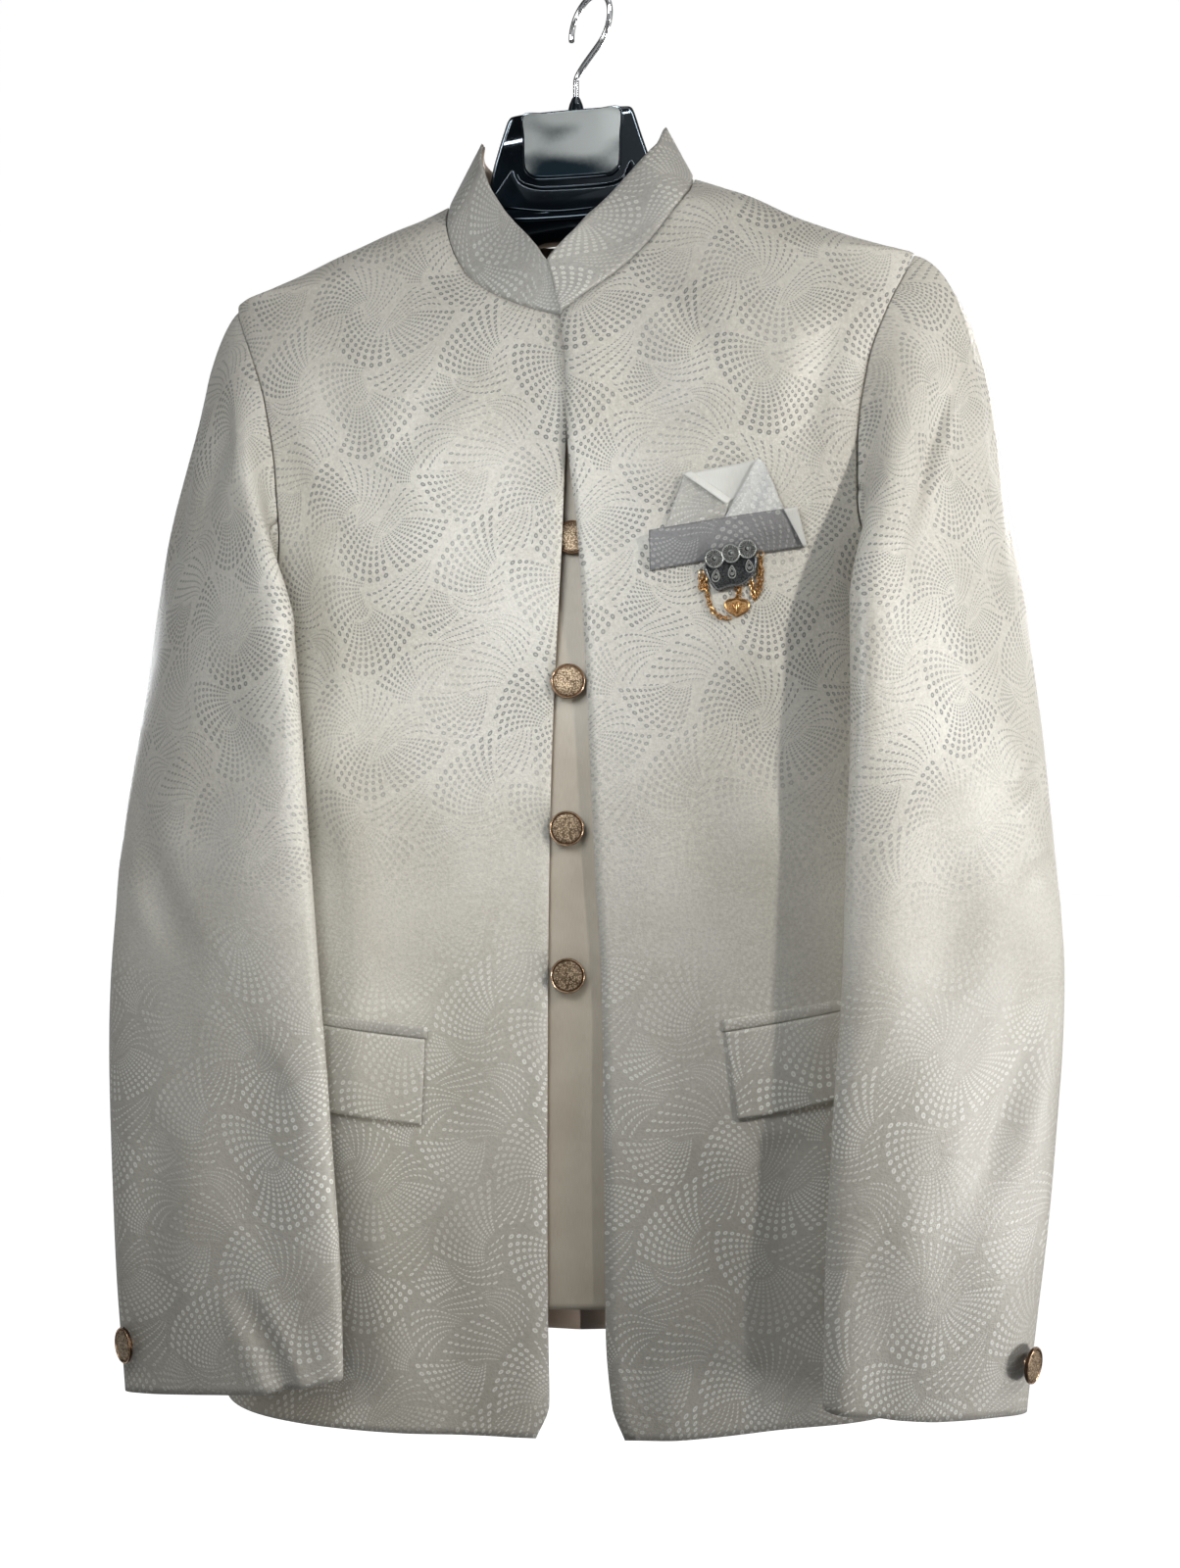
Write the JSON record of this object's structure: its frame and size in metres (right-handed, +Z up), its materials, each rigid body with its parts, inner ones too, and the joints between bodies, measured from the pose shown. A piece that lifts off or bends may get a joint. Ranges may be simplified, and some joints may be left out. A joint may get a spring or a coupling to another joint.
{
  "type": "jodhpuri suit jacket on a suit hanger",
  "caption": "Ivory jacquard band-collar suit jacket with a row of shank buttons, flap pockets, pocket square and brooch, hung open on a moulded hanger.",
  "frame": {"origin": "inner top of the hanger's hook, at the middle of its wire, where it rests on a rod", "axes": "+Z up, the jacket's front faces -Y, and the wearer's left is at +X"},
  "size_m": [0.5876, 0.158, 0.8689],
  "materials": {
    "ivory_jacquard": "satin-ground jacquard with small woven dots",
    "beige_satin": "plain satin lining",
    "ivory_satin": "plain satin",
    "antique_rose_gold": "antiqued cast metal with fine relief",
    "bright_gold": "bright plated",
    "oxidised_silver": "oxidised cast metal",
    "gloss_black": "polished moulding",
    "steel_blue_plate": "polished metallic plate",
    "chrome": "polished wire"
  },
  "bodies": {
    "root": {"front_left": "ivory_jacquard", "front_right": "ivory_jacquard", "back_left": "ivory_jacquard", "back_right": "ivory_jacquard", "sleeve_upper_left": "ivory_jacquard", "sleeve_upper_right": "ivory_jacquard", "sleeve_under_left": "ivory_jacquard", "sleeve_under_right": "ivory_jacquard", "collar_stand": "ivory_jacquard", "pocket_jet_left": "ivory_jacquard", "pocket_jet_right": "ivory_jacquard", "pocket_flap_left": "ivory_jacquard", "pocket_flap_right": "ivory_jacquard", "chest_welt": "ivory_jacquard", "square_left": "ivory_jacquard", "square_back": "ivory_satin", "square_right": "ivory_satin", "collar_lining": "beige_satin", "button_strip": "beige_satin", "front_button_1": "antique_rose_gold", "front_button_2": "antique_rose_gold", "front_button_3": "antique_rose_gold", "front_button_4": "antique_rose_gold", "front_button_5": "antique_rose_gold", "cuff_button_left": "antique_rose_gold", "cuff_button_right": "antique_rose_gold", "brooch_chain_left": "bright_gold", "brooch_chain_middle": "bright_gold", "brooch_chain_right": "bright_gold", "brooch_pendant": "bright_gold", "brooch_bar": "oxidised_silver", "brooch_disc_1": "oxidised_silver", "brooch_disc_2": "oxidised_silver", "brooch_disc_3": "oxidised_silver", "hanger_body": "gloss_black", "hanger_knob": "gloss_black", "hanger_plate": "steel_blue_plate", "hanger_hook": "chrome"}
  },
  "joints": []
}
